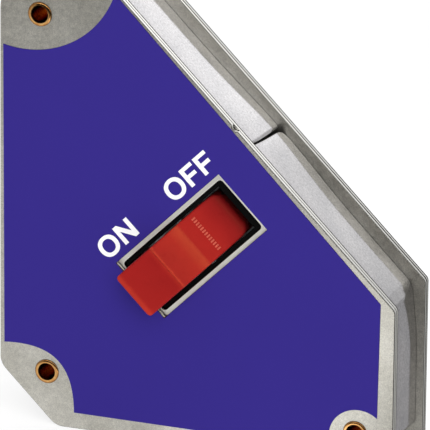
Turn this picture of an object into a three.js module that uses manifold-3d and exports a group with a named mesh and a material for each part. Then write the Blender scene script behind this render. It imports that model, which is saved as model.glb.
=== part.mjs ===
// Switchable magnetic welding square: two laminated steel pole plates held apart by a folded
// steel band and three tubular rivets, with fixed magnets and a sliding magnet carriage inside.
// A red rocker in the front plate shifts the carriage between OFF and ON.
//
// Millimetres. In the holder's own frame x runs from the left working edge, y runs from the
// front face into the holder and z runs up from the bottom working edge. The exported group
// moves that frame so that its origin is the middle of the whole object's base.

import * as THREE from 'three';
import { mergeVertices } from 'three/addons/utils/BufferGeometryUtils.js';
import Module from 'manifold-3d';

const wasm = await Module();
wasm.setup();

// ---- Driving dimensions -------------------------------------------------------------------

const WIDTH = 130;
const HEIGHT = 148;
const DEPTH = 33;
const CHAMFER = 18.6;            // legs of the lower left 45 degree corner
const RIGHT_EDGE = 53.1;         // height where the 45 degree diagonal leaves the right edge
const COVER = 1.6;               // outer lamination of each side
const POLE = 1.7;                // inner lamination of each side
const FIT = 0.3;                 // gap between pieces that pass through or slide on each other
const SKIN = 0.05;               // gap between flat faces that lie on each other

const BAND_INSET = 4;
const BAND_SHEET = 1.2;
const RIGHT_BOW = 1.5;           // how far the band bows out along the short right hand edge
const SEAM_AT = 66.5;            // distance of the band's open seam from the right hand corner
const SEAM_GAP = 1.6;
const SEAM_BULGE = 1;            // how far the band springs out at its seam
const SEAM_SPRING = 44;          // length of the stretch that springs out, each side of the seam

const RIVETS = { top: [13.2, 135.1], left: [15.7, 17.9], right: [117.7, 11.6] };
const RIVET_BORE = 2.45;
const RIVET_SHANK = 3.0;
const RIVET_RIM = 3.85;
const RIM_PROUD = 0.5;

const LABEL_SHEET = 0.25;

// The switch sits at 45 degrees: u runs along the rocker from ON to OFF, v into the holder
// from the front face, and w across the rocker towards the upper left.
const SWITCH = [63.3, 65.6];
const COVER_WINDOW = [-23.5, 23.7, 22.6];     // lowest u, highest u, width
const POLE_WINDOW = [-22.7, 22.3, 19.7];
const CRADLE_MOUTH = [-21.2, 19.7, 16.9];
const PIVOT_DEPTH = 5.6;
const ROCKER_WIDTH = 16.1;
const ROCKER_PROUD = 9.0;
const ROCKER_TRAVEL = 14.5;                   // degrees from OFF to ON
const DRIVE_ARM = 19.8;                       // rocker pivot to drive pin
const PIVOT_PIN = 1.4;
const DRIVE_PIN = 1.5;

const SCREW_PLACES = { a: [-26, -9], b: [25.4, -9], c: [25.4, 9], d: [-26, 9] };
const SCREW_SHANK = 1.2;
const FLANGE_BACK = 6;
const CRADLE_BACK = 12;

const CARRIAGE = { length: 48, width: 44, front: 13.2, back: 28.8 };
const RAIL = 3;

// ---- Materials ----------------------------------------------------------------------------

const material = (color, roughness, metalness) =>
  new THREE.MeshStandardMaterial({ color, roughness, metalness });

const PLATED_STEEL = material('#c4c2bb', 0.38, 0.9);
const BAND_STEEL = material('#d2d0cd', 0.3, 0.9);
const BRASS = material('#b07a34', 0.3, 0.9);
const LABEL_BLUE = material('#3c318f', 0.55, 0);
const ROCKER_RED = material('#b3241f', 0.35, 0);
const LINER_BLACK = material('#151516', 0.5, 0);
const BRIGHT_STEEL = material('#b9bcc0', 0.3, 1);
const FERRITE = material('#2e2d2f', 0.7, 0.1);
const ALUMINIUM = material('#b8babd', 0.4, 0.9);
const NYLON = material('#e4e1d6', 0.6, 0);

// ---- Shapes -------------------------------------------------------------------------------

const SQRT2 = Math.SQRT2;
const radians = (degrees) => degrees * Math.PI / 180;

/** Points of an arc, both ends included. */
function arc(x, y, radius, from, to, steps) {
  return Array.from({ length: steps + 1 }, (_, i) => {
    const angle = radians(from + (to - from) * i / steps);
    return new THREE.Vector2(x + radius * Math.cos(angle), y + radius * Math.sin(angle));
  });
}

/** A polygon whose corners [x, y, radius] are rounded by arcs; corners run anticlockwise. */
function rounded(corners, stepDegrees = 10) {
  const count = corners.length;
  return corners.flatMap(([x, y, radius], i) => {
    const here = new THREE.Vector2(x, y);
    const [px, py] = corners[(i + count - 1) % count];
    const [nx, ny] = corners[(i + 1) % count];
    if (!radius) return [here];
    const before = new THREE.Vector2(px, py).sub(here).normalize();
    const after = new THREE.Vector2(nx, ny).sub(here).normalize();
    const half = Math.acos(THREE.MathUtils.clamp(before.dot(after), -1, 1)) / 2;
    const centre = before.clone().add(after).normalize()
      .multiplyScalar(radius / Math.sin(half)).add(here);
    const start = before.clone().multiplyScalar(radius / Math.tan(half)).add(here).sub(centre);
    const from = THREE.MathUtils.radToDeg(start.angle());
    const sweep = 180 - THREE.MathUtils.radToDeg(2 * half);
    const steps = Math.max(2, Math.round(sweep / stepDegrees));
    return arc(centre.x, centre.y, radius, from, from + sweep, steps);
  });
}

const rectangle = (x0, x1, y0, y1, radius = 0) =>
  rounded([[x0, y0, radius], [x1, y0, radius], [x1, y1, radius], [x0, y1, radius]], 22.5);

const circle = (x, y, radius, sides = 24) => arc(x, y, radius, 0, 360, sides).slice(0, -1);

/** A plate with holes, its outline seen from the front, between two depths. */
function plate(outline, holes, front, back) {
  const shape = new THREE.Shape(outline);
  shape.holes = holes.map((hole) => new THREE.Path(hole));
  return new THREE.ExtrudeGeometry(shape, { depth: back - front, bevelEnabled: false })
    .rotateX(Math.PI / 2)
    .translate(0, back, 0);
}

/** A profile in (u, v) carried along w between two places. */
function profile(outline, from, to) {
  return new THREE.ExtrudeGeometry(new THREE.Shape(outline), { depth: to - from, bevelEnabled: false })
    .translate(0, 0, from);
}

function block(x0, x1, y0, y1, z0, z1) {
  return new THREE.BoxGeometry(x1 - x0, y1 - y0, z1 - z0)
    .translate((x0 + x1) / 2, (y0 + y1) / 2, (z0 + z1) / 2);
}

/** A round bar along w at (u, v). */
const crossPin = (u, v, radius, half, sides = 24) => profile(circle(u, v, radius, sides), -half, half);

/** A turned piece whose axis runs into the holder; the profile lists [radius, depth]. */
function turned(outline, x, z, sides = 32) {
  const points = outline.map(([radius, depth]) => new THREE.Vector2(radius, depth));
  if (THREE.ShapeUtils.isClockWise(points)) points.reverse();
  return new THREE.LatheGeometry([...points, points[0]], sides).translate(x, 0, z);
}

// ---- Booleans -----------------------------------------------------------------------------

function solid(geometry) {
  const bare = geometry.clone();
  bare.deleteAttribute('normal');
  bare.deleteAttribute('uv');
  const merged = mergeVertices(bare, 1e-4);
  return new wasm.Manifold(new wasm.Mesh({
    numProp: 3,
    vertProperties: new Float32Array(merged.attributes.position.array),
    triVerts: new Uint32Array(merged.index.array),
  }));
}

function geometryOf(manifold) {
  const mesh = manifold.getMesh();
  const geometry = new THREE.BufferGeometry();
  geometry.setAttribute('position', new THREE.BufferAttribute(mesh.vertProperties, 3));
  geometry.setIndex(new THREE.BufferAttribute(mesh.triVerts, 1));
  geometry.computeVertexNormals();
  return geometry;
}

const cut = (body, tools) =>
  geometryOf(tools.reduce((rest, tool) => rest.subtract(solid(tool)), solid(body)));

// ---- Scene --------------------------------------------------------------------------------

const holder = new THREE.Group();
holder.position.set(-WIDTH / 2, (ROCKER_PROUD - DEPTH - RIM_PROUD) / 2, 0);

const switchFrame = new THREE.Group();
switchFrame.position.set(SWITCH[0], 0, SWITCH[1]);
switchFrame.rotation.y = -Math.PI / 4;
holder.add(switchFrame);

function add(parent, name, geometry, look) {
  const mesh = new THREE.Mesh(geometry, look);
  mesh.name = name;
  parent.add(mesh);
}

/** The place of a point (u, w) of the switch in the holder's (x, z). */
const place = (u, w) => [SWITCH[0] + (u - w) / SQRT2, SWITCH[1] + (u + w) / SQRT2];

/** A window outline around the switch, seen from the front. */
function windowOutline([low, high, width], radius) {
  const corners = [[low, -width / 2], [high, -width / 2], [high, width / 2], [low, width / 2]];
  return rounded(corners.map(([u, w]) => [...place(u, w), radius]), 22.5);
}

// ---- Side plates --------------------------------------------------------------------------

const diagonalTop = WIDTH - (HEIGHT - RIGHT_EDGE);

/** The holder's outline, moved inwards by inset, with a radius for each kind of corner. */
function outline(inset, radii) {
  const slant = inset * (SQRT2 - 1);
  return rounded([
    [CHAMFER + slant, inset, radii.chamfer],
    [WIDTH - inset, inset, radii.lowerRight],
    [WIDTH - inset, RIGHT_EDGE - slant, radii.diagonal],
    [diagonalTop - slant, HEIGHT - inset, radii.diagonal],
    [inset, HEIGHT - inset, radii.upperLeft],
    [inset, CHAMFER + slant, radii.chamfer],
  ]);
}

const plateOutline = outline(0, { chamfer: 6, lowerRight: 2.5, upperLeft: 12, diagonal: 2.5 });

/** A point on the diagonal edge, measured from the right hand corner. */
const onDiagonal = (distance, inset = 0) =>
  new THREE.Vector2(WIDTH - (distance + inset) / SQRT2, RIGHT_EDGE + (distance - inset) / SQRT2);

/** The front cover has a small pry notch in its diagonal edge. */
function coverOutlineWithNotch() {
  const notch = [onDiagonal(73.1), onDiagonal(74.2, 0.9), onDiagonal(75.2, 0.7), onDiagonal(76.2)];
  const after = plateOutline.findIndex((p) => p.y > HEIGHT - 8 && p.x < WIDTH - 40);
  return [...plateOutline.slice(0, after), ...notch, ...plateOutline.slice(after)];
}

const screwHoles = Object.values(SCREW_PLACES).map(([u, w]) =>
  circle(...place(u, w), SCREW_SHANK + FIT, 16));
const rivetHoles = Object.values(RIVETS).map(([x, z]) => circle(x, z, RIVET_SHANK + FIT));
const frontInner = COVER + POLE;
const rearInner = DEPTH - frontInner;

add(holder, 'front_cover',
  plate(coverOutlineWithNotch(), [...rivetHoles, windowOutline(COVER_WINDOW, 0.4)], 0, COVER),
  PLATED_STEEL);
add(holder, 'front_pole_plate',
  plate(plateOutline, [...rivetHoles, ...screwHoles, windowOutline(POLE_WINDOW, 1.2)],
    COVER, frontInner),
  PLATED_STEEL);
add(holder, 'rear_pole_plate',
  plate(plateOutline, rivetHoles, rearInner, rearInner + POLE), PLATED_STEEL);
add(holder, 'rear_cover', plate(plateOutline, rivetHoles, rearInner + POLE, DEPTH), PLATED_STEEL);

// ---- Band between the side plates -----------------------------------------------------------

/** Points along the short right hand edge, where the sheet bows out between its two bends. */
function bowedEdge(inset, low, high) {
  const steps = 10;
  return Array.from({ length: steps - 1 }, (_, i) => {
    const share = (i + 1) / steps;
    const bow = RIGHT_BOW * Math.sin(Math.PI * share);
    return new THREE.Vector2(WIDTH - inset + bow, low + (high - low) * share);
  });
}

/** One face of the band, from the seam's upper side round to its lower side, anticlockwise. */
function bandFace(inset, radii) {
  const bends = outline(inset, radii);
  const top = bends.findIndex((p, i) => i > 0 && p.y - bends[i - 1].y > RIGHT_EDGE / 2);
  const edge = bowedEdge(inset, bends[top - 1].y, bends[top].y);
  const ring = [...bends.slice(0, top), ...edge, ...bends.slice(top)];
  const split = ring.findIndex((p) => p.y > HEIGHT - 20 && p.x < WIDTH - 40);
  const steps = 6;
  // the sheet is straight near the corners and springs outwards towards its two free ends
  const spring = (start, end) => Array.from({ length: steps }, (_, i) => {
    const t = (i + 1) / steps;
    const bulge = SEAM_BULGE * (1 - Math.cos(Math.PI * t)) / 2;
    return onDiagonal(start + (end - start) * t, inset - bulge);
  });
  const upper = spring(SEAM_AT + SEAM_SPRING, SEAM_AT + SEAM_GAP / 2).reverse();
  const lower = spring(SEAM_AT - SEAM_SPRING, SEAM_AT - SEAM_GAP / 2);
  return [...upper, ...ring.slice(split), ...ring.slice(0, split), ...lower];
}

function bandGeometry() {
  const bends = { chamfer: 4, lowerRight: 3, upperLeft: 8, diagonal: 4 };
  const innerBends = Object.fromEntries(
    Object.entries(bends).map(([corner, radius]) => [corner, radius - BAND_SHEET]));
  const outer = bandFace(BAND_INSET, bends);
  const inner = bandFace(BAND_INSET + BAND_SHEET, innerBends);
  return plate([...outer, ...inner.reverse()], [], frontInner + SKIN, rearInner - SKIN);
}

add(holder, 'perimeter_band', bandGeometry(), BAND_STEEL);

// ---- Rivets and the tubes that space the plates ---------------------------------------------

function rivetGeometry(x, z) {
  const lip = RIVET_BORE + 0.55;
  const side = (face, outward) => [
    [RIVET_RIM, face + outward * SKIN],
    [RIVET_RIM - 0.1, face + outward * 0.3],
    [RIVET_RIM - 0.5, face + outward * RIM_PROUD],
    [lip, face + outward * RIM_PROUD],
    [RIVET_BORE + 0.1, face + outward * 0.1],
    [RIVET_BORE, face - outward * 0.6],
  ];
  const front = side(0, -1);
  const back = side(DEPTH, 1).reverse();
  const shank = [[RIVET_SHANK, DEPTH + SKIN], [RIVET_SHANK, -SKIN]];
  return turned([...front, ...back, ...shank], x, z);
}

for (const [key, [x, z]] of Object.entries(RIVETS)) {
  const tube = [
    [RIVET_SHANK + FIT, frontInner + SKIN], [4.8, frontInner + SKIN],
    [4.8, rearInner - SKIN], [RIVET_SHANK + FIT, rearInner - SKIN],
  ];
  add(holder, `rivet_${key}`, rivetGeometry(x, z), BRASS);
  add(holder, `spacer_${key}`, turned(tube, x, z, 24), BRIGHT_STEEL);
}

// ---- Label ----------------------------------------------------------------------------------

/** The printed panel stops short of the edges and curves round the three rivets. */
function labelOutline() {
  const besideLeftRivet = new THREE.CubicBezierCurve(
    new THREE.Vector2(1.4, 25.9), new THREE.Vector2(17.5, 27.5),
    new THREE.Vector2(24.6, 21.5), new THREE.Vector2(24.8, 5.3)).getPoints(14);
  const besideRightRivet = arc(118.8, 9.6, 9.7, 209, 52, 18);
  const besideTopRivet = arc(8.5, 154, 30.8, -18, -104, 16);
  return [...besideLeftRivet, ...besideRightRivet, new THREE.Vector2(125.3, 54.9), ...besideTopRivet];
}

const labelWindow = [COVER_WINDOW[0] - 0.1, COVER_WINDOW[1] + 0.1, COVER_WINDOW[2] + 0.2];
add(holder, 'label',
  plate(labelOutline(), [windowOutline(labelWindow, 0.4)], -LABEL_SHEET - SKIN, -SKIN), LABEL_BLUE);

// ---- Rocker -----------------------------------------------------------------------------------

const swing = radians(ROCKER_TRAVEL / 2);
const tipU = -DRIVE_ARM * Math.sin(swing);
const tipV = PIVOT_DEPTH + DRIVE_ARM * Math.cos(swing);

/** Outline of the rocker seen from its side in the OFF position; v is negative when proud. */
function rockerProfile() {
  const nose = { u: -21.65, v: -(ROCKER_PROUD - 1.2), radius: 1.2 };
  const tail = { u: 14.0, v: 6.4, radius: 2.5 };
  const creaseU = -7.3;
  const creaseV = -7.0;
  const valley = new THREE.Vector2(1.36, -0.5);
  // the hub between the two pads is a shallow outward curve
  const chord = new THREE.Vector2(valley.x - creaseU, valley.y - creaseV);
  const hubHalf = 15;
  const hubRadius = chord.length() / 2 / Math.sin(radians(hubHalf));
  const hubTilt = THREE.MathUtils.radToDeg(chord.angle());
  const normal = new THREE.Vector2(-chord.y, chord.x).normalize();
  const hubCentre = new THREE.Vector2(creaseU, creaseV).addScaledVector(chord, 0.5)
    .addScaledVector(normal, hubRadius * Math.cos(radians(hubHalf)));
  const hub = arc(hubCentre.x, hubCentre.y, hubRadius,
    hubTilt - 90 - hubHalf, hubTilt - 90 + hubHalf, 8);
  return [
    new THREE.Vector2(-22.85, -6.7),
    ...arc(nose.u, nose.v, nose.radius, -180, -82, 6),
    ...hub,
    ...arc(tail.u, tail.v, tail.radius, -71, 0, 6),
    new THREE.Vector2(16.5, 8.6),
    new THREE.Vector2(15.6, 9.5),
    new THREE.Vector2(-6.5, 9.5),
    new THREE.Vector2(-18.3, 4.0),
    new THREE.Vector2(-19.9, -6.2),
  ];
}

/** The arm under the hub that carries the drive pin into the carriage. */
function driveArm() {
  const half = 2.8;
  const along = new THREE.Vector2(tipU, tipV - PIVOT_DEPTH).normalize();
  const across = new THREE.Vector2(along.y, -along.x);
  const at = (distance, side) => new THREE.Vector2(0, PIVOT_DEPTH)
    .addScaledVector(along, distance).addScaledVector(across, side);
  const end = DRIVE_ARM;
  const foot = arc(tipU, tipV, half, 0, 180, 10).map((p) => p.sub(new THREE.Vector2(tipU, tipV)));
  const turn = Math.atan2(along.x, along.y);
  const footPoints = foot.map((p) => p.rotateAround(new THREE.Vector2(), -turn).add(at(end, 0)));
  return [at(2, -half), at(2, half), ...footPoints];
}

/** The rocker's outline seen from the front, with its rounded corners. */
function rockerPlan() {
  const side = ROCKER_WIDTH / 2;
  const points = rounded([[-23.2, -side, 1.4], [17.2, -side, 3], [17.2, side, 3], [-23.2, side, 1.4]], 22.5);
  return new THREE.ExtrudeGeometry(new THREE.Shape(points), { depth: 40, bevelEnabled: false })
    .rotateX(Math.PI / 2)
    .translate(0, 25, 0);
}

function rockerGeometry() {
  const half = ROCKER_WIDTH / 2;
  const body = solid(profile(rockerProfile(), -half, half)).intersect(solid(rockerPlan()));
  const arm = solid(profile(driveArm(), -4, 4));
  const pivotHole = solid(crossPin(0, PIVOT_DEPTH, PIVOT_PIN + FIT, half + 1));
  const driveHole = solid(crossPin(tipU, tipV, DRIVE_PIN + FIT, half));
  return geometryOf(body.add(arm).subtract(pivotHole).subtract(driveHole));
}

add(switchFrame, 'rocker', rockerGeometry(), ROCKER_RED);
add(switchFrame, 'rocker_pin', crossPin(0, PIVOT_DEPTH, PIVOT_PIN, 12.2), BRIGHT_STEEL);
add(switchFrame, 'drive_pin', crossPin(tipU, tipV, DRIVE_PIN, 7.5), BRIGHT_STEEL);

// ---- Cradle that holds the rocker ---------------------------------------------------------------

function cradleGeometry() {
  const [mouthLow, mouthHigh, mouthWidth] = CRADLE_MOUTH;
  const half = mouthWidth / 2;
  const wall = 3.6;
  const [windowLow, windowHigh, windowWidth] = POLE_WINDOW;
  const flange = block(-28.5, 28.5, frontInner + SKIN, FLANGE_BACK, -12.6, 12.6);
  const rimOutline = rectangle(windowLow + FIT, windowHigh - FIT,
    -windowWidth / 2 + FIT, windowWidth / 2 - FIT, 1.1);
  const rim = plate(rimOutline, [], 2.4, 4);
  const box = block(mouthLow - 2, mouthHigh + 2, 5, CRADLE_BACK, -half - wall, half + wall);
  const body = [rim, box].reduce((sum, piece) => sum.add(solid(piece)), solid(flange));
  const holes = Object.values(SCREW_PLACES).map(([u, w]) =>
    new THREE.CylinderGeometry(SCREW_SHANK + FIT, SCREW_SHANK + FIT, 12, 20).translate(u, 4, w));
  const mouth = block(mouthLow, mouthHigh, 0, CRADLE_BACK + 1, -half, half);
  const pinHole = crossPin(0, PIVOT_DEPTH, PIVOT_PIN + FIT, 20);
  return cut(geometryOf(body), [mouth, pinHole, ...holes]);
}

add(switchFrame, 'rocker_cradle', cradleGeometry(), LINER_BLACK);

for (const [key, [u, w]] of Object.entries(SCREW_PLACES)) {
  const screw = new THREE.LatheGeometry([
    [0, COVER + FIT], [SCREW_SHANK, COVER + FIT], [SCREW_SHANK, FLANGE_BACK + SKIN],
    [2.5, FLANGE_BACK + SKIN], [2.5, FLANGE_BACK + 1.2], [2.0, FLANGE_BACK + 1.7],
    [0, FLANGE_BACK + 1.8],
  ].map(([radius, depth]) => new THREE.Vector2(radius, depth)), 20);
  add(switchFrame, `cradle_screw_${key}`, screw.translate(u, 0, w), BRIGHT_STEEL);
}

// ---- Magnet carriage ------------------------------------------------------------------------------

const MAGNET_STEP = 10;
const STRIP = { width: 4.4, length: 36 };
const stripPlaces = [-19.5, -19.5 + MAGNET_STEP, 19.5 - MAGNET_STEP, 19.5];

function carriageGeometry() {
  const { length, width, front, back } = CARRIAGE;
  const body = block(-length / 2, length / 2, front, back, -width / 2, width / 2);
  const armPocket = block(-4.9, 4.9, front - 1, back + 1, -4.4, 4.4);
  const pinGroove = block(-DRIVE_PIN - FIT, DRIVE_PIN + FIT, front - 1, 27.4, -7.9, 7.9);
  const reach = STRIP.width / 2 + FIT;
  const strips = stripPlaces.map((u) => block(u - reach, u + reach, front + 1.5, back + 1,
    -STRIP.length / 2 - FIT, STRIP.length / 2 + FIT));
  return cut(body, [armPocket, pinGroove, ...strips]).translate(tipU, 0, 0);
}

add(switchFrame, 'magnet_carriage', carriageGeometry(), ALUMINIUM);
stripPlaces.forEach((u, i) => {
  const at = u + tipU;
  const strip = block(at - STRIP.width / 2, at + STRIP.width / 2,
    CARRIAGE.front + 1.5 + FIT, CARRIAGE.back, -STRIP.length / 2, STRIP.length / 2);
  add(switchFrame, `carriage_magnet_${i + 1}`, strip, FERRITE);
});

const railInner = CARRIAGE.width / 2 + FIT;
add(switchFrame, 'rail_upper',
  block(-29, 31, CARRIAGE.front, rearInner - FIT, railInner, railInner + RAIL), NYLON);
add(switchFrame, 'rail_lower',
  block(-29, 31, CARRIAGE.front, rearInner - FIT, -railInner - RAIL, -railInner), NYLON);

// ---- Fixed magnets ---------------------------------------------------------------------------------

const magnetFront = frontInner + FIT;
const magnetBack = rearInner - FIT;
add(holder, 'left_magnet', block(7, 24, magnetFront, magnetBack, 30, 118), FERRITE);
add(holder, 'bottom_magnet', block(30, 92, magnetFront, magnetBack, 7, 24), FERRITE);
add(holder, 'corner_magnet', block(96, 122, magnetFront, magnetBack, 19, 34), FERRITE);
add(switchFrame, 'upper_diagonal_magnet', block(12, 31, magnetFront, magnetBack, 30, 64), FERRITE);
add(switchFrame, 'lower_diagonal_magnet', block(12, 31, magnetFront, magnetBack, -53, -30), FERRITE);

export default holder;
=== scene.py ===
"""Looks of a switchable magnetic welding square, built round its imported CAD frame.

Plan outlines are in millimetres in the holder's own frame: x from the left working edge, depth
from the front face into the holder, z up from the bottom working edge. The switch has a frame
of its own at 45 degrees: u along the rocker from ON to OFF, depth, and w across it towards the
upper left. world() turns holder millimetres into the frame's metres.
"""
import math

import bmesh
import bpy
import numpy as np
from mathutils import Matrix, Vector
from mathutils.geometry import tessellate_polygon

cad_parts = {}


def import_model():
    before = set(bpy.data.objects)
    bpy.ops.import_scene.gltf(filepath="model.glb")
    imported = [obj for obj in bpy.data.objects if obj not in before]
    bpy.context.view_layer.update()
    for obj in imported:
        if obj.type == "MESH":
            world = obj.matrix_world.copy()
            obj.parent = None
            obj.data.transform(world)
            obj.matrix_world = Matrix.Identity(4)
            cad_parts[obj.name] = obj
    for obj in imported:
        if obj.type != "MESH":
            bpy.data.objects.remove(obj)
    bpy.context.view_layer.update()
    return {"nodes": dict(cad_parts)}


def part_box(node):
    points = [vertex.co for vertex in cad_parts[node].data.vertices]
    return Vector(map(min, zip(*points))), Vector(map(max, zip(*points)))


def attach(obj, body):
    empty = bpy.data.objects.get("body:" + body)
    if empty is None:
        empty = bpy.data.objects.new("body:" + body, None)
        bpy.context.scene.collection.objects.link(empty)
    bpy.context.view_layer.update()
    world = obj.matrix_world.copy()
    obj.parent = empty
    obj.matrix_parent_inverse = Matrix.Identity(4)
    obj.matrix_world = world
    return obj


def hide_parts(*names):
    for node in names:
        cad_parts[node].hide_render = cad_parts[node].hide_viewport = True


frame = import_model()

MM = 0.001
ROOT = "root"
ROCKER_BODY = "rocker_body"

# ---- Driving dimensions, in millimetres ------------------------------------------------------

SQRT2 = math.sqrt(2)
cover_low, cover_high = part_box("front_cover")
rear_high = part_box("rear_cover")[1]
ORIGIN = Vector(cover_low)
WIDTH, _, HEIGHT = (Vector(cover_high) - ORIGIN) / MM
DEPTH = (rear_high[1] - ORIGIN[1]) / MM
COVER = (cover_high[1] - cover_low[1]) / MM
POLE = (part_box("front_pole_plate")[1][1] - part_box("front_pole_plate")[0][1]) / MM
FRONT_INNER = COVER + POLE
REAR_INNER = DEPTH - FRONT_INNER
CHAMFER = 18.6         # along each edge at the lower left corner
RIGHT_EDGE = 53.1      # height of the short right hand edge

BAND_INSET = 4.0       # the band lies inside the plates' outline
BAND_SHEET = 1.2
RIGHT_BOW = 1.5        # how far the band bows out along the right hand edge
SEAM_AT = 66.5         # the open seam, along the diagonal from the right hand corner
SEAM_BULGE = 1.0       # how far the band springs out at its seam
SEAM_SPRING = 44       # length that springs out on each side of the seam

RIVETS = {"top": (13.2, 135.1), "left": (15.7, 17.9), "right": (117.7, 11.6)}
RIVET_HOLE = 3.3       # radius
RIM_PROUD = 0.5        # rims of the rivets over the front face

SWITCH = (63.3, 65.6)  # middle of the switch in holder x and z
COVER_WINDOW = (-23.5, 23.7, 22.6)  # low u, high u, width
POLE_WINDOW = (-22.7, 22.3, 19.7)
ROCKER_WIDTH = 16.1


def world(x, depth, z):
    return ORIGIN + Vector((x, depth, z)) * MM


def place(u, w):
    """Holder (x, z) of a point of the switch frame."""
    return SWITCH[0] + (u - w) / SQRT2, SWITCH[1] + (u + w) / SQRT2


def switch_world(u, depth, w):
    x, z = place(u, w)
    return world(x, depth, z)


# ---- Outlines --------------------------------------------------------------------------------

def arc(x, y, radius, start, end, steps):
    angles = np.radians(np.linspace(start, end, steps + 1))
    return [(x + radius * math.cos(a), y + radius * math.sin(a)) for a in angles]


def rounded(corners, step=6.0):
    """Anticlockwise polygon with corners (x, y, radius) rounded by arcs."""
    points = []
    count = len(corners)
    for i, (x, y, radius) in enumerate(corners):
        here = Vector((x, y))
        if not radius:
            points.append((x, y))
            continue
        before = (Vector(corners[i - 1][:2]) - here).normalized()
        after = (Vector(corners[(i + 1) % count][:2]) - here).normalized()
        half = before.angle(after) / 2
        centre = here + (before + after).normalized() * radius / math.sin(half)
        start = here + before * radius / math.tan(half) - centre
        first = math.degrees(math.atan2(start.y, start.x))
        sweep = 180 - math.degrees(2 * half)
        points += arc(centre.x, centre.y, radius, first, first + sweep, max(3, round(sweep / step)))
    return points


def bezier(p0, p1, p2, p3, steps):
    t = np.linspace(0, 1, steps + 1)[:, None]
    p0, p1, p2, p3 = map(np.array, (p0, p1, p2, p3))
    curve = (1 - t) ** 3 * p0 + 3 * t * (1 - t) ** 2 * p1 + 3 * t ** 2 * (1 - t) * p2 + t ** 3 * p3
    return [tuple(p) for p in curve]


def circle(x, y, radius, sides=48):
    return arc(x, y, radius, 0, 360, sides)[:-1]


DIAGONAL_TOP = WIDTH - (HEIGHT - RIGHT_EDGE)


def outline(inset, bends, step=6.0):
    """The holder's outline moved inwards, with a radius for each kind of corner."""
    slant = inset * (SQRT2 - 1)
    return rounded([
        (CHAMFER + slant, inset, bends["chamfer"]),
        (WIDTH - inset, inset, bends["lower_right"]),
        (WIDTH - inset, RIGHT_EDGE - slant, bends["diagonal"]),
        (DIAGONAL_TOP - slant, HEIGHT - inset, bends["diagonal"]),
        (inset, HEIGHT - inset, bends["upper_left"]),
        (inset, CHAMFER + slant, bends["chamfer"]),
    ], step)


def on_diagonal(distance, inset=0.0):
    """Holder (x, z) of a place on the diagonal edge, measured from the right hand corner."""
    return WIDTH - (distance + inset) / SQRT2, RIGHT_EDGE + (distance - inset) / SQRT2


def past_diagonal(points):
    """Index of the first point above the diagonal edge, in an outline that starts at the bottom."""
    return next(i for i, (_, z) in enumerate(points) if z > HEIGHT / 2)


def window(low, high, width, radius):
    """A rectangle of the switch frame, from low to high along u."""
    corners = [(low, -width / 2), (high, -width / 2), (high, width / 2), (low, width / 2)]
    return rounded([(*place(u, w), radius) for u, w in corners], 15)


# ---- Mesh building -----------------------------------------------------------------------------

def make_object(name, vertices, faces, material, body, sharp=35.0):
    """A smooth shaded piece in metres that rides on a body."""
    mesh = bpy.data.meshes.new(name)
    mesh.from_pydata([tuple(v) for v in vertices], [], [tuple(f) for f in faces])
    mesh.validate()
    cleaner = bmesh.new()
    cleaner.from_mesh(mesh)
    bmesh.ops.remove_doubles(cleaner, verts=cleaner.verts, dist=1e-7)
    bmesh.ops.recalc_face_normals(cleaner, faces=cleaner.faces)
    for edge in cleaner.edges:
        if len(edge.link_faces) == 2:
            edge.smooth = edge.calc_face_angle() < math.radians(sharp)
    for face in cleaner.faces:
        face.smooth = True
    cleaner.to_mesh(mesh)
    cleaner.free()
    mesh.materials.append(material)
    piece = bpy.data.objects.new(name, mesh)
    bpy.context.scene.collection.objects.link(piece)
    weighted = piece.modifiers.new("even_shading", "WEIGHTED_NORMAL")
    weighted.keep_sharp = True
    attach(piece, body)
    return piece


def bevelled(piece, width, angle=40):
    """Rounds a piece's sharp edges, before its shading is evened out."""
    bevel = piece.modifiers.new("rounded_edges", "BEVEL")
    bevel.width = width * MM
    bevel.segments = 2
    bevel.limit_method = "ANGLE"
    bevel.angle_limit = math.radians(angle)
    bevel.use_clamp_overlap = True
    piece.modifiers.move(len(piece.modifiers) - 1, 0)


def loop_offset(loop, distance):
    """A closed loop moved to its left by distance, mitred at the corners."""
    points = np.array(loop, float)
    ahead = np.roll(points, -1, 0) - points
    ahead /= np.linalg.norm(ahead, axis=1)[:, None]
    behind = np.roll(ahead, 1, 0)
    left = np.stack([-ahead[:, 1], ahead[:, 0]], 1)
    left_behind = np.stack([-behind[:, 1], behind[:, 0]], 1)
    miter = left + left_behind
    miter /= (1 + (left * left_behind).sum(1))[:, None]
    return points + miter * distance


def area(loop):
    points = np.array(loop)
    following = np.roll(points, -1, 0)
    return (points[:, 0] * following[:, 1] - points[:, 1] * following[:, 0]).sum() / 2


def rounded_edge(front, back, front_edge, back_edge, steps=3):
    """Rings (inset, depth) down the edge of a plate that is rounded towards both its faces.

    An edge is (how far it cuts in from the outline, how far it cuts down from the face).
    """
    rings = []
    for a in np.linspace(0, math.pi / 2, steps + 1):
        rings.append((front_edge[0] * (1 - math.sin(a)), front + front_edge[1] * (1 - math.cos(a))))
    for a in np.linspace(0, math.pi / 2, steps + 1):
        rings.append((back_edge[0] * (1 - math.cos(a)), back - back_edge[1] * (1 - math.sin(a))))
    return rings


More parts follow.
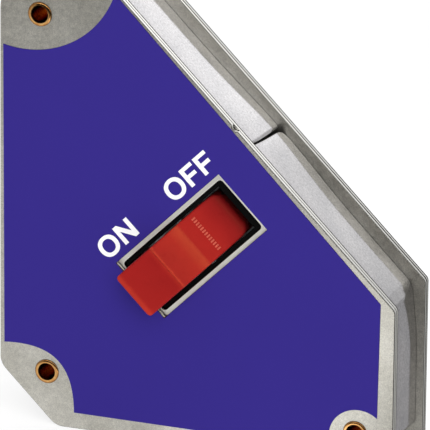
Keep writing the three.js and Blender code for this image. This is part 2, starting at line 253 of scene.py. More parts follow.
def prism(loops, rings, to_world):
    """Vertices and faces of a plate. loops[0] is its outline and the rest are holes."""
    turned = [list(loop) if (area(loop) > 0) == (i == 0) else list(loop)[::-1]
              for i, loop in enumerate(loops)]
    vertices, faces, caps = [], [], ([], [])
    for loop in turned:
        count = len(loop)
        starts = []
        for inset, depth in rings:
            starts.append(len(vertices))
            vertices += [to_world(x, depth, z) for x, z in loop_offset(loop, inset)]
        for a, b in zip(starts, starts[1:]):
            for i in range(count):
                j = (i + 1) % count
                faces.append((a + i, a + j, b + j, b + i))
        caps[0].append(list(range(starts[0], starts[0] + count)))
        caps[1].append(list(range(starts[-1], starts[-1] + count)))
    for cap in caps:
        flat = [i for ring in cap for i in ring]
        polygons = [[Vector(vertices[i]) for i in ring] for ring in cap]
        faces += [tuple(flat[i] for i in triangle) for triangle in tessellate_polygon(polygons)]
    return vertices, faces


def lathe(profile, x, z, sides=64):
    """A ring turned about an axis that runs into the holder; profile is closed (radius, depth)."""
    vertices, faces = [], []
    for i in range(sides):
        a = 2 * math.pi * i / sides
        vertices += [world(x + r * math.cos(a), d, z + r * math.sin(a)) for r, d in profile]
    count = len(profile)
    for i in range(sides):
        j = (i + 1) % sides
        for k in range(count):
            m = (k + 1) % count
            faces.append((i * count + k, j * count + k, j * count + m, i * count + m))
    return vertices, faces


# ---- Materials -----------------------------------------------------------------------------------

class Look:
    """A small helper round one material's node tree."""

    def __init__(self, name, roughness, metallic=0.0):
        self.material = bpy.data.materials.new(name)
        self.material.use_nodes = True
        self.nodes = self.material.node_tree.nodes
        self.links = self.material.node_tree.links
        self.shader = self.nodes["Principled BSDF"]
        self.shader.inputs["Roughness"].default_value = roughness
        self.shader.inputs["Metallic"].default_value = metallic
        self.coordinates = self.nodes.new("ShaderNodeTexCoord").outputs["Object"]

    def noise(self, size, detail=4.0, stretch=(1, 1, 1), rough=0.55):
        """Noise whose features are about size millimetres across."""
        mapping = self.nodes.new("ShaderNodeMapping")
        mapping.inputs["Scale"].default_value = stretch
        texture = self.nodes.new("ShaderNodeTexNoise")
        texture.inputs["Scale"].default_value = 1 / (size * MM)
        texture.inputs["Detail"].default_value = detail
        texture.inputs["Roughness"].default_value = rough
        self.links.new(self.coordinates, mapping.inputs["Vector"])
        self.links.new(mapping.outputs["Vector"], texture.inputs["Vector"])
        return texture.outputs["Fac"]

    def along(self, direction, low, high, ragged=0.0):
        """0 to 1 from low to high, in millimetres along a direction, put off by up to ragged."""
        dot = self.nodes.new("ShaderNodeVectorMath")
        dot.operation = "DOT_PRODUCT"
        dot.inputs[1].default_value = direction
        share = self.nodes.new("ShaderNodeMapRange")
        share.inputs["From Min"].default_value = low * MM
        share.inputs["From Max"].default_value = high * MM
        self.links.new(self.coordinates, dot.inputs[0])
        shift = self.nodes.new("ShaderNodeMath")
        shift.operation = "MULTIPLY_ADD"
        shift.inputs[1].default_value = ragged * MM
        self.links.new(self.noise(0.9, 3), shift.inputs[0])
        self.links.new(dot.outputs["Value"], shift.inputs[2])
        self.links.new(shift.outputs["Value"], share.inputs["Value"])
        return share.outputs["Result"]

    def banded(self, direction, stops, ragged=0.0):
        """Colours at places in millimetres along a direction, whose limits wander by ragged."""
        low, high = stops[0][0], stops[-1][0]
        shares = [((place_at - low) / (high - low), colour) for place_at, colour in stops]
        return self.ramp(self.along(direction, low, high, ragged), shares)

    def ramp(self, value, stops):
        node = self.nodes.new("ShaderNodeValToRGB")
        elements = node.color_ramp.elements
        while len(elements) < len(stops):
            elements.new(0.5)
        for element, (position, colour) in zip(elements, stops):
            element.position = position
            element.color = (*colour, 1) if len(colour) == 3 else colour
        self.links.new(value, node.inputs["Fac"])
        return node.outputs["Color"]

    def grey(self, value, low, high, start=0.3, end=0.7):
        return self.ramp(value, [(start, (low,) * 3), (end, (high,) * 3)])

    def mix(self, kind, amount, a, b):
        node = self.nodes.new("ShaderNodeMix")
        node.data_type = "RGBA"
        node.blend_type = kind
        factor, first, second = node.inputs[0], node.inputs[6], node.inputs[7]
        for socket, value in ((factor, amount), (first, a), (second, b)):
            if isinstance(value, (int, float, tuple)):
                socket.default_value = (*value, 1) if isinstance(value, tuple) else value
            else:
                self.links.new(value, socket)
        return node.outputs[2]

    def painted_crevice_shade(self, base, reach, darkest):
        """Paints shade into the colour where other surfaces come closer than reach millimetres."""
        node = self.nodes.new("ShaderNodeAmbientOcclusion")
        node.samples = 8
        node.inputs["Distance"].default_value = reach * MM
        shade = self.grey(node.outputs["AO"], darkest, 1.0, 0.35, 0.85)
        return self.mix("MULTIPLY", 1.0, base, shade)

    def facing_depth(self):
        """0 on faces towards the front, 0.5 on the sheets' edges and 1 on faces towards the rear."""
        normal = self.nodes.new("ShaderNodeSeparateXYZ")
        self.links.new(self.nodes.new("ShaderNodeNewGeometry").outputs["True Normal"], normal.inputs[0])
        share = self.nodes.new("ShaderNodeMapRange")
        share.inputs["From Min"].default_value = -1
        self.links.new(normal.outputs["Y"], share.inputs["Value"])
        return share.outputs["Result"]

    def bump(self, *layers):
        """Stacked bumps, each (height, strength, distance in millimetres)."""
        normal = None
        for height, strength, distance in layers:
            node = self.nodes.new("ShaderNodeBump")
            node.inputs["Strength"].default_value = strength
            node.inputs["Distance"].default_value = distance * MM
            self.links.new(height, node.inputs["Height"])
            if normal is not None:
                self.links.new(normal, node.inputs["Normal"])
            normal = node.outputs["Normal"]
        self.links.new(normal, self.shader.inputs["Normal"])

    def colour(self, value):
        self.links.new(value, self.shader.inputs["Base Color"])

    def metal_colour(self, value):
        """A colour that also holds at grazing angles, so the painted crevice shade stays dark there."""
        self.colour(value)
        self.links.new(value, self.shader.inputs["Specular Tint"])

    def roughness(self, value):
        self.links.new(value, self.shader.inputs["Roughness"])


def srgb(red, green, blue):
    """Linear colour of 8-bit sRGB values."""
    def channel(value):
        value /= 255
        return value / 12.92 if value <= 0.04045 else ((value + 0.055) / 1.055) ** 2.4
    return channel(red), channel(green), channel(blue)


def plated_steel():
    """Zinc plated sheet: satin on its faces and burnished along its punched edges, with painted shade in
    its crevices and on the rolled and torn parts of its edges, and its front pole plate painted brighter.
    """
    look = Look("plated_steel", 0.4, metallic=1.0)
    cloud = look.noise(12, 4)
    mottle = look.noise(1.3, 5, rough=0.7)
    grain = look.noise(0.3, 3)
    facing = look.facing_depth()
    black, white = (0, 0, 0), (1, 1, 1)
    edge = look.ramp(facing, [(0.06, black), (0.14, white), (0.86, white), (0.94, black)])
    base = look.mix("MIX", look.grey(cloud, 0, 1), srgb(216, 213, 202), srgb(240, 237, 227))
    base = look.mix("MULTIPLY", 1.0, base, look.grey(mottle, 0.76, 1.06))
    base = look.mix("MULTIPLY", 1.0, base, look.grey(grain, 0.72, 1.1))
    front = ORIGIN[1] / MM
    # The front pole plate is painted paler than the cover, a painted brightness for the brighter
    # reflection it shows round the window.
    pole_plate_painted_brighter = look.banded((0, 1, 0), [(front + COVER - 0.4, black), (front + COVER - 0.2, white),
                                        (front + FRONT_INNER, white), (front + FRONT_INNER + 1, black)])
    base = look.mix("MIX", pole_plate_painted_brighter, base, srgb(240, 238, 230))
    # Painted shade on the faces wherever another surface lies close by.
    face = look.painted_crevice_shade(base, 0.15, 0.3)
    # Colours of the punched edges by zone. The burnished zone is the edge's own bright band; the dark
    # rolled and torn zones are partly painted shade, drawing the dark lines along the stacked plates, and
    # the edges take further painted crevice shade below.
    rolled, burnished, torn = srgb(105, 104, 99), srgb(251, 250, 246), srgb(40, 39, 37)
    edge_zones_and_shade = look.ramp(facing, [(0.1, rolled), (0.3, rolled), (0.4, burnished), (0.52, burnished),
                                 (0.55, torn), (0.78, torn), (0.88, rolled)])
    look.metal_colour(look.mix("MIX", edge, face, look.painted_crevice_shade(edge_zones_and_shade, 0.4, 0.03)))
    look.roughness(look.mix("MIX", edge, look.grey(mottle, 0.3, 0.44), (0.2, 0.2, 0.2)))
    look.bump((mottle, 0.3, 0.06), (grain, 0.3, 0.02))
    return look.material


def band_steel():
    """Bright rolled sheet with a fine mottle, and painted shade where it meets the plates."""
    look = Look("band_steel", 0.1, metallic=1.0)
    cloud = look.noise(9, 4)
    brushed = look.noise(0.3, 3, stretch=(0.25, 1, 0.25))
    pits = look.noise(0.7, 6, rough=0.8)
    base = look.mix("MIX", look.grey(cloud, 0, 1), srgb(230, 229, 231), srgb(244, 242, 243))
    base = look.mix("MULTIPLY", 1.0, base, look.grey(pits, 0.72, 1.1))
    # Painted shade along the joints with the plates.
    look.metal_colour(look.painted_crevice_shade(base, 0.6, 0.02))
    look.roughness(look.grey(cloud, 0.07, 0.12))
    look.bump((pits, 0.2, 0.02), (brushed, 0.1, 0.01), (cloud, 0.1, 0.2))
    return look.material


def bronzed_brass():
    look = Look("bronzed_brass", 0.25, metallic=1.0)
    stain = look.noise(1.2, 5)
    base = look.mix("MIX", look.grey(stain, 0, 1), srgb(208, 144, 78), srgb(240, 190, 124))
    full_tone, dull, dark = (1, 1, 1), (0.5, 0.42, 0.35), (0.75, 0.8, 1.0)
    front = ORIGIN[1] / MM
    # Darker below the crests of the rims: most on their flanks and at the mouths of the bore, less all the
    # way down the bore.
    darker_below_crests = look.banded((0, 1, 0), [
        (front - RIM_PROUD, full_tone), (front - 0.42, full_tone), (front - 0.3, dull), (front - 0.12, dark),
        (front + DEPTH + 0.12, dark), (front + DEPTH + 0.3, dull), (front + DEPTH + 0.42, full_tone)])
    base = look.mix("MULTIPLY", 1.0, base, darker_below_crests)
    # Painted shade where the rims meet the plates and down the bore.
    look.metal_colour(look.painted_crevice_shade(base, 0.7, 0.15))
    look.roughness(look.grey(stain, 0.1, 0.2))
    look.bump((stain, 0.25, 0.03))
    return look.material


def label_print():
    look = Look("label_print", 0.6)
    grain = look.noise(0.18, 2)
    cloud = look.noise(30, 2)
    base = look.mix("MULTIPLY", 1.0, srgb(51, 39, 131), look.grey(cloud, 0.98, 1.01))
    look.colour(look.mix("MULTIPLY", 1.0, base, look.grey(grain, 0.97, 1.02)))
    look.shader.inputs["Specular IOR Level"].default_value = 0.08
    look.bump((grain, 0.1, 0.01))
    return look.material


def label_ink():
    look = Look("label_ink", 0.6)
    grain = look.noise(0.2, 2)
    look.colour(look.mix("MULTIPLY", 1.0, (0.95, 0.95, 0.95), look.grey(grain, 0.96, 1.0)))
    look.bump((grain, 0.1, 0.01))
    return look.material


# Places along the rocker in the switch frame, with the colour painted on its plastic there: painted
# highlights on the nose, the crease and the foot of the hub, and painted shade darkening the tail.
ROCKER_PAINTED_LIGHT = [
    (-22.9, (176, 48, 38)), (-21.2, (176, 48, 38)), (-20.2, (156, 32, 31)), (-9.0, (150, 29, 29)),
    (-7.9, (160, 38, 32)), (-7.2, (184, 60, 42)), (-6.7, (160, 35, 32)), (-1.5, (168, 39, 33)),
    (1.0, (182, 62, 42)), (1.8, (166, 37, 33)), (7.5, (164, 36, 33)), (11.0, (153, 30, 30)),
    (14.0, (140, 27, 28)), (16.6, (112, 20, 21)),
]
PAINTED_LIGHT_RAGGED = 0.9
PAINTED_LIGHT_SHIFT = 0.4


def rocker_plastic():
    """Red moulding with painted highlights along its nose, its crease and the foot of its hub, and painted
    shade towards its tail.
    """
    look = Look("rocker_plastic", 0.3)
    cloud = look.noise(6, 4)
    grain = look.noise(0.25, 3)
    along_rocker = Vector((1, 0, 1)) / SQRT2
    start = switch_world(0, 0, 0).dot(along_rocker) / MM + PAINTED_LIGHT_SHIFT
    painted_light = [(start + u, srgb(*colour)) for u, colour in ROCKER_PAINTED_LIGHT]
    # The colour along the rocker is painted light and shade, its edges made ragged by noise.
    base = look.banded(along_rocker, painted_light, PAINTED_LIGHT_RAGGED)
    base = look.mix("MULTIPLY", 1.0, base, look.grey(cloud, 0.94, 1.04))
    look.colour(look.mix("MULTIPLY", 1.0, base, look.grey(grain, 0.93, 1.03)))
    look.roughness(look.grey(cloud, 0.26, 0.36))
    look.shader.inputs["Specular IOR Level"].default_value = 0.05
    look.shader.inputs["Specular Tint"].default_value = (1, 0.7, 0.3, 1)
    look.bump((grain, 0.12, 0.02), (cloud, 0.15, 0.15))
    return look.material


def moulded_plastic(name, colour, roughness, gloss=0.3):
    look = Look(name, roughness)
    grain = look.noise(0.3, 4)
    look.colour(look.mix("MULTIPLY", 1.0, colour, look.grey(grain, 0.8, 1.1)))
    look.roughness(look.grey(grain, roughness - 0.06, roughness + 0.08))
    look.shader.inputs["Specular IOR Level"].default_value = gloss
    look.bump((grain, 0.2, 0.03))
    return look.material


def plain_metal(name, colour, roughness, grain_size=0.3):
    look = Look(name, roughness, metallic=1.0)
    grain = look.noise(grain_size, 4, stretch=(1, 0.2, 1))
    look.colour(look.mix("MULTIPLY", 1.0, colour, look.grey(grain, 0.85, 1.05)))
    look.roughness(look.grey(grain, roughness - 0.08, roughness + 0.1))
    look.bump((grain, 0.2, 0.02))
    return look.material


def ferrite():
    look = Look("ferrite", 0.7)
    grain = look.noise(0.5, 6)
    look.colour(look.grey(grain, 0.03, 0.07))
    look.roughness(look.grey(grain, 0.55, 0.8))
    look.bump((grain, 0.3, 0.05))
    return look.material


PLATE = plated_steel()
BAND = band_steel()
BRASS = bronzed_brass()
LABEL = label_print()
INK = label_ink()
RED = rocker_plastic()
# The grip bars' paler red is a painted highlight.
PAINTED_HIGHLIGHT_RED = moulded_plastic("painted_highlight_red_plastic", srgb(206, 88, 68), 0.4)
BLACK = moulded_plastic("liner_plastic", (0.003, 0.003, 0.003), 0.55, 0.03)
NYLON = moulded_plastic("nylon", (0.75, 0.73, 0.67), 0.55)
BRIGHT = plain_metal("bright_steel", (0.55, 0.56, 0.58), 0.3)
ALUMINIUM = plain_metal("milled_aluminium", (0.62, 0.63, 0.65), 0.35, 0.5)
FERRITE = ferrite()

# ---- Side plates ------------------------------------------------------------------------------------

PLATE_CORNERS = {"chamfer": 6, "lower_right": 2.5, "upper_left": 12, "diagonal": 2.5}
SCREW_PLACES = ((-26, -9), (25.4, -9), (25.4, 9), (-26, 9))
SCREW_HOLE = 1.5
DIE_ROLL = (0.35, 0.35)    # how far a rolled edge cuts in from the outline and down from the face
TIGHT_EDGE = (0.12, 0.12)
FRACTURE_SLOPE = 0.12      # how much the torn part of a punched edge leans inwards
COVER_WINDOW_CORNER = 0.3
POLE_WINDOW_CORNER = 1.2
NOTCH = ((73.1, 0), (74.2, 0.9), (75.2, 0.7), (76.2, 0))  # along the diagonal, cut into it

plate_outline = outline(0, PLATE_CORNERS)
rivet_holes = [circle(x, z, RIVET_HOLE) for x, z in RIVETS.values()]
screw_holes = [circle(*place(u, w), SCREW_HOLE, 24) for u, w in SCREW_PLACES]


def with_notch(points):
    """The plate outline with the small pry notch in its diagonal edge."""
    after = past_diagonal(points)
    return points[:after] + [on_diagonal(*corner) for corner in NOTCH] + points[after:]


def sheared_edge(front, back, front_edge, back_edge, burnish):
    """Rings down a punched edge: rolled over, then burnished, then torn off at a slight slope."""
    tear = front + (back - front) * burnish
    torn = (back - back_edge[1] - tear) * FRACTURE_SLOPE
    rings = rounded_edge(front, back, front_edge, back_edge)
    half = len(rings) // 2
    return [*rings[:half], (0, tear), *[(inset + torn, depth) for inset, depth in rings[half:]]]


def lamination(node, loops, front, back, front_edge, back_edge, burnish):
    """One sheet of a side. burnish is the share of its thickness before the torn part."""
    rings = sheared_edge(front, back, front_edge, back_edge, burnish)
    piece = make_object(node + "_sheet", *prism(loops, rings, world), PLATE, ROOT)
    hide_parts(node)


lamination("front_cover",
           [with_notch(plate_outline), *rivet_holes, window(*COVER_WINDOW, COVER_WINDOW_CORNER)],
           0, COVER, DIE_ROLL, TIGHT_EDGE, 0.8)
lamination("front_pole_plate",
           [plate_outline, *rivet_holes, *screw_holes, window(*POLE_WINDOW, POLE_WINDOW_CORNER)],
           COVER, FRONT_INNER, TIGHT_EDGE, TIGHT_EDGE, 0.6)
lamination("rear_pole_plate", [plate_outline, *rivet_holes],
           REAR_INNER, REAR_INNER + POLE, DIE_ROLL, TIGHT_EDGE, 0.6)
lamination("rear_cover", [plate_outline, *rivet_holes],
           REAR_INNER + POLE, DEPTH, TIGHT_EDGE, TIGHT_EDGE, 0.45)

# ---- Band between the side plates -------------------------------------------------------------------

BAND_PLAY = 0.05
BAND_FRONT = FRONT_INNER + BAND_PLAY
BAND_BACK = REAR_INNER - BAND_PLAY
BAND_BENDS = {"chamfer": 4, "lower_right": 3, "upper_left": 8, "diagonal": 7}
BAND_ROWS = 16
DISH = 0.35                # how far the sheet is pressed in between its rims
DISH_DIAGONAL = 0.95       # the same along the diagonal
UPPER, LOWER = 1, -1
SEAM_ENDS = {UPPER: (68.1, 0.077), LOWER: (67.9, 0.113)}  # distance at the front, slant with depth
SEAM_CORNER = 3.0
SPRING_STATIONS = [*[0.95 * (k / 9) ** 0.8 for k in range(10)], 0.965, 0.975, 0.985, 0.992, 1.0]
LIP = 1.1                  # the upper end of the sheet dips over this length
LIP_DROP = 0.35


def bowed_edge(low, high, steps=24):
    """Points up the short right hand edge, bowed out from its lower bend and drawn in at the top."""
    lifts = [(t, math.sin(math.pi * max(t, 0.5))) for t in np.linspace(0, 1, steps + 1)[1:-1]]
    return [(WIDTH - BAND_INSET + RIGHT_BOW * lift, low + (high - low) * t) for t, lift in lifts]


def bowed_bend(x, z):
    """A point of the lower right bend, carried out with the bowed edge above it."""
    bend = BAND_BENDS["lower_right"]
    share = 1 - (WIDTH - BAND_INSET - x) / bend
    return (x + RIGHT_BOW * max(share, 0), z) if z < BAND_INSET + bend + 0.1 else (x, z)


def band_columns():
    """Places round the band away from its seam: (x, z, outward x, outward z)."""
    bends = outline(BAND_INSET, BAND_BENDS, step=5)
    top = next(i for i in range(1, len(bends)) if bends[i][1] - bends[i - 1][1] > RIGHT_EDGE / 2)
    lower = [bowed_bend(x, z) for x, z in bends[:top]]
    ring = lower + bowed_edge(bends[top - 1][1], bends[top][1]) + bends[top:]
    points = np.array(ring)
    before = points - np.roll(points, 1, 0)
    after = np.roll(points, -1, 0) - points
    before /= np.linalg.norm(before, axis=1)[:, None]
    after /= np.linalg.norm(after, axis=1)[:, None]
    normal = np.stack([before[:, 1] + after[:, 1], -before[:, 0] - after[:, 0]], 1)
    normal /= np.linalg.norm(normal, axis=1)[:, None]
    columns = [(*p, *n) for p, n in zip(points, normal)]
    split = past_diagonal(ring)
    return columns[split:] + columns[:split]


def seam_end(side, depth):
    """Distance along the diagonal where the sheet ends; the lower end has a rounded rear corner."""
    at_front, slant = SEAM_ENDS[side]
    end = at_front - slant * depth
    to_back = BAND_BACK - depth
    if side == LOWER and to_back < SEAM_CORNER:
        end -= SEAM_CORNER - math.sqrt(SEAM_CORNER ** 2 - (SEAM_CORNER - to_back) ** 2)
    return end


def seam_column(side, t, depth):
    """One point of the sprung stretch between a straight place (t = 0) and the seam (t = 1)."""
    start = SEAM_AT + side * SEAM_SPRING
    end = seam_end(side, depth)
    distance = start + (end - start) * t
    bulge = SEAM_BULGE * (1 - math.cos(math.pi * t ** 1.5)) / 2
    from_end = abs(distance - end)
    if side == UPPER and from_end < LIP:
        bulge -= LIP_DROP * (1 - from_end / LIP) ** 2
    x, z = on_diagonal(distance, BAND_INSET - bulge)
    return x, z, 1 / SQRT2, 1 / SQRT2


def dish(share, nx, nz):
    """How far the sheet is pressed in between its rims, most of all along the diagonal."""
    deepest = DISH + (DISH_DIAGONAL - DISH) * max(0, 2 * nx * nz)
    return deepest * (1 - math.cos(2 * math.pi * share)) / 2


def band_mesh():
    """The sheet as a closed skin: an outer and an inner grid joined along their rims."""
    straight = band_columns()
    shares = [(1 - math.cos(math.pi * j / BAND_ROWS)) / 2 for j in range(BAND_ROWS + 1)]
    vertices = []
    for share in shares:
        depth = BAND_FRONT + (BAND_BACK - BAND_FRONT) * share
        upper = [seam_column(UPPER, t, depth) for t in reversed(SPRING_STATIONS)]
        lower = [seam_column(LOWER, t, depth) for t in SPRING_STATIONS]
        for x, z, nx, nz in [*upper, *straight, *lower]:
            for inwards in (dish(share, nx, nz), dish(share, nx, nz) + BAND_SHEET):
                vertices.append(world(x - nx * inwards, depth, z - nz * inwards))
    columns = len(vertices) // len(shares) // 2

    def at(row, column, layer):
        return (row * columns + column) * 2 + layer

    faces = []
    for row in range(BAND_ROWS):
        for column in range(columns - 1):
            for layer in (0, 1):
                faces.append((at(row, column, layer), at(row + 1, column, layer),
                              at(row + 1, column + 1, layer), at(row, column + 1, layer)))
        for column in (0, columns - 1):
            faces.append((at(row, column, 0), at(row + 1, column, 0),
                          at(row + 1, column, 1), at(row, column, 1)))
    for row in (0, BAND_ROWS):
        for column in range(columns - 1):
            faces.append((at(row, column, 0), at(row, column + 1, 0),
                          at(row, column + 1, 1), at(row, column, 1)))
    return vertices, faces


band = make_object("folded_band", *band_mesh(), BAND, ROOT)
bevelled(band, 0.2)
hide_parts("perimeter_band")

# ---- Rivets -----------------------------------------------------------------------------------------

RIVET_RIM = 3.95
RIVET_CREST = 2.85
RIVET_BORE = 2.45
RIVET_SHANK = 3.0
RIM_FOOT = 0.05     # gap under the rim
THROAT = 0.45       # depth at which the bore becomes straight


def rivet_profile():
    """Closed (radius, depth) outline of a tube whose ends are rolled over both faces."""
    roll = RIVET_RIM - RIM_FOOT - RIVET_CREST
    front = [(RIVET_RIM, -RIM_FOOT)]
    front += [(RIVET_CREST + roll * math.cos(a), -RIM_FOOT - (RIM_PROUD - RIM_FOOT) * math.sin(a))
              for a in np.radians(np.linspace(0, 90, 9))]
    throat = [math.cos(a) for a in np.radians(np.linspace(10, 90, 9))]
    front += [(RIVET_BORE + (RIVET_CREST - RIVET_BORE) * share, THROAT - (THROAT + RIM_PROUD) * share)
              for share in throat]
    back = [(radius, DEPTH - depth) for radius, depth in reversed(front)]
    return [*front, *back, (RIVET_SHANK, DEPTH + RIM_FOOT), (RIVET_SHANK, -RIM_FOOT)]


for key, (x, z) in RIVETS.items():
    rivet = make_object("tubular_rivet_" + key, *lathe(rivet_profile(), x, z), BRASS, ROOT, 50)
    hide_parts("rivet_" + key)

# ---- Label and its lettering ------------------------------------------------------------------------

LABEL_FACE = -0.16    # depths, a little proud of the cover
LABEL_BACK = -0.05
LABEL_GAP = 0.1       # round the cover's window
LETTER_FOOT = 13.55
LETTER_TOP = 20.15
LETTER_PROUD = 0.04
STROKE = 1.5
BAR = 1.25
F_MIDDLE = 16.1
F_MIDDLE_SHORT = 0.5
N_JOIN = 2.3
O_OVERSHOOT = 0.15


def label_outline():
    """The printed panel stops short of the edges and curves round the three rivets."""
    beside_left_rivet = bezier((1.4, 25.9), (17.5, 27.5), (24.6, 21.5), (24.8, 5.3), 24)
    beside_right_rivet = arc(118.8, 9.6, 9.7, 209, 52, 36)
    beside_top_rivet = arc(8.5, 154, 30.8, -18, -104, 32)
    return [*beside_left_rivet, *beside_right_rivet, (125.3, 54.9), *beside_top_rivet]


label_window = window(COVER_WINDOW[0] - LABEL_GAP, COVER_WINDOW[1] + LABEL_GAP,
                      COVER_WINDOW[2] + 2 * LABEL_GAP, 2 * LABEL_GAP)
label_edge = rounded_edge(LABEL_FACE, LABEL_BACK, (0.05, 0.05), (0.02, 0.02), steps=2)
label = make_object("blue_label", *prism([label_outline(), label_window], label_edge, world),
                    LABEL, ROOT)
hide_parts("label")


def letter_n(left, right):
    foot, top = LETTER_FOOT, LETTER_TOP
    slant = STROKE * 1.12
    return [[(left, foot), (left + STROKE, foot), (left + STROKE, top - N_JOIN), (right - slant, foot),
             (right, foot), (right, top), (right - STROKE, top), (right - STROKE, foot + N_JOIN),
             (left + slant, top), (left, top)]]


def letter_f(left, right):
    stem = left + STROKE
    arm = right - F_MIDDLE_SHORT
    return [[(left, LETTER_FOOT), (stem, LETTER_FOOT), (stem, F_MIDDLE), (arm, F_MIDDLE),
             (arm, F_MIDDLE + BAR), (stem, F_MIDDLE + BAR), (stem, LETTER_TOP - BAR),
             (right, LETTER_TOP - BAR), (right, LETTER_TOP), (left, LETTER_TOP)]]


def letter_o(left, right):
    """An upright superellipse with a narrower one cut out of it."""
    low, high = LETTER_FOOT - O_OVERSHOOT, LETTER_TOP + O_OVERSHOOT

    def ring(inset_u, inset_w):
        half_u = (right - left) / 2 - inset_u
        half_w = (high - low) / 2 - inset_w
        points = []
        for angle in np.linspace(0, 2 * math.pi, 48, endpoint=False):
            c, s = math.cos(angle), math.sin(angle)
            points.append(((left + right) / 2 + math.copysign(abs(c) ** 0.9, c) * half_u,
                           (low + high) / 2 + math.copysign(abs(s) ** 0.9, s) * half_w))
        return points
    return [ring(0, 0), ring(STROKE, BAR)]


LETTERING = {
    "on_o": letter_o(-25.0, -17.7), "on_n": letter_n(-16.7, -10.3),
    "off_o": letter_o(5.6, 12.9), "off_f1": letter_f(13.9, 19.1), "off_f2": letter_f(20.1, 25.3),
}
for name, loops in LETTERING.items():
    placed = [[place(u, w) for u, w in loop] for loop in loops]
    letter_edge = rounded_edge(LABEL_FACE - LETTER_PROUD, LABEL_FACE + 0.02, (0.02, 0.02), (0.01, 0.01), 1)
    letter = make_object("letter_" + name, *prism(placed, letter_edge, world), INK, ROOT)

# ---- Rocker -----------------------------------------------------------------------------------------

# The rocker's long section in (u, depth). Its nose and tail are arcs (u, depth, radius).
CREASE = (-7.3, -7.0)
VALLEY = (1.36, -0.5)
NOSE = (-21.65, -7.8, 1.2)
TAIL = (14.0, 6.4, 2.5)
TAIL_START = -71
HUB_SWEEP = 30
BEAD_RADIUS = 0.5
BEAD_SINK = 0.32
NOSE_CORNER = 1.4
TAIL_CORNER = 3.0
SIDE_FILLET = 0.8
LEAST_WALL = 0.25
UNDERSIDE = ((-22.85, -6.7), (-19.9, -6.2), (-18.3, 4.0), (-6.5, 9.5), (15.6, 9.5), (16.5, 8.6))


def rocker_top():
    """Stations (u, depth) along the rocker's upper surface, from its nose to its tail."""
    nose = arc(*NOSE, -176, -98, 9)
    chord = Vector(VALLEY) - Vector(CREASE)
    half = math.radians(HUB_SWEEP / 2)
    radius = chord.length / 2 / math.sin(half)
    side = Vector((-chord.y, chord.x)).normalized()
    centre = Vector(CREASE) + chord / 2 + side * radius * math.cos(half)
    middle = math.degrees(math.atan2(chord.y, chord.x)) - 90
    hub = arc(centre.x, centre.y, radius, middle - HUB_SWEEP / 2, middle + HUB_SWEEP / 2, 14)
    pad = [(NOSE[0] + (CREASE[0] - NOSE[0]) * t, nose[-1][1] + (CREASE[1] - nose[-1][1]) * t)
           for t in np.linspace(0.08, 0.94, 8)]
    bead = arc(CREASE[0], CREASE[1] + BEAD_SINK, BEAD_RADIUS, -150, -30, 8)
    tail = arc(*TAIL, TAIL_START, -4, 10)
    low = [(VALLEY[0] + (tail[0][0] - VALLEY[0]) * t, VALLEY[1] + (tail[0][1] - VALLEY[1]) * t)
           for t in np.linspace(0.04, 0.94, 8)]
    return [*nose, *pad, *bead, *hub[2:], *low, *tail]


def plan_half(u):
    """Half the rocker's width at u, with its rounded plan corners."""
    half = ROCKER_WIDTH / 2
    low = NOSE[0] - NOSE[2] + NOSE_CORNER - u
    high = u - (TAIL[0] + TAIL[2] - TAIL_CORNER)
    for over, corner in ((low, NOSE_CORNER), (high, TAIL_CORNER)):
        if over > 0:
            half -= corner - math.sqrt(max(corner ** 2 - over ** 2, 0))
    return half


def rocker_section(u, top):
    """Closed ring (depth, w) across the rocker at u."""
    bottom = float(np.interp(u, *zip(*UNDERSIDE)))
    bottom = max(bottom, top + LEAST_WALL)
    half = plan_half(u)
    fillet = min(SIDE_FILLET, (bottom - top) * 0.6)
    ring = [(bottom, -half)]
    ring += [(top + fillet * (1 - math.sin(a)), -half + fillet * (1 - math.cos(a)))
             for a in np.radians(np.linspace(0, 90, 6))]
    ring += [(top, w) for w in np.linspace(-half + fillet, half - fillet, 8)[1:-1]]
    ring += [(top + fillet * (1 - math.sin(a)), half - fillet * (1 - math.cos(a)))
             for a in np.radians(np.linspace(90, 0, 6))]
    return [*ring, (bottom, half)]


def rocker_mesh():
    stations = rocker_top()
    rings = [[(u, depth, w) for depth, w in rocker_section(u, top)] for u, top in stations]
    count = len(rings[0])
    vertices = [switch_world(*point) for ring in rings for point in ring]
    faces = [tuple(range(count))]
    for i in range(len(rings) - 1):
        for k in range(count):
            m = (k + 1) % count
            faces.append((i * count + k, i * count + m, (i + 1) * count + m, (i + 1) * count + k))
    last = (len(rings) - 1) * count
    faces.append(tuple(range(last, last + count)))
    return vertices, faces


def switch_prism(loop, from_w, to_w, edge):
    """A profile in (u, depth) carried along w, with rounded edges."""
    return prism([loop], rounded_edge(from_w, to_w, (edge, edge), (edge, edge)),
                 lambda u, w, depth: switch_world(u, depth, w))


rocker = make_object("rocker_button", *rocker_mesh(), RED, ROCKER_BODY, 50)
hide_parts("rocker")

GRIP_BARS = 13
GRIP_PITCH = 1.0
GRIP_SPAN = (5.8, 7.0)     # each bar's ends along u
GRIP_WIDTH = 0.55
GRIP_PROUD = 0.22
GRIP_SUNK = 0.3
GRIP_EDGE = 0.06


def low_slope(u):
    """Depth of the rocker's low end at u."""
    tail_angle = math.radians(TAIL_START)
    end = (TAIL[0] + TAIL[2] * math.cos(tail_angle), TAIL[1] + TAIL[2] * math.sin(tail_angle))
    return VALLEY[1] + (u - VALLEY[0]) * (end[1] - VALLEY[1]) / (end[0] - VALLEY[0])


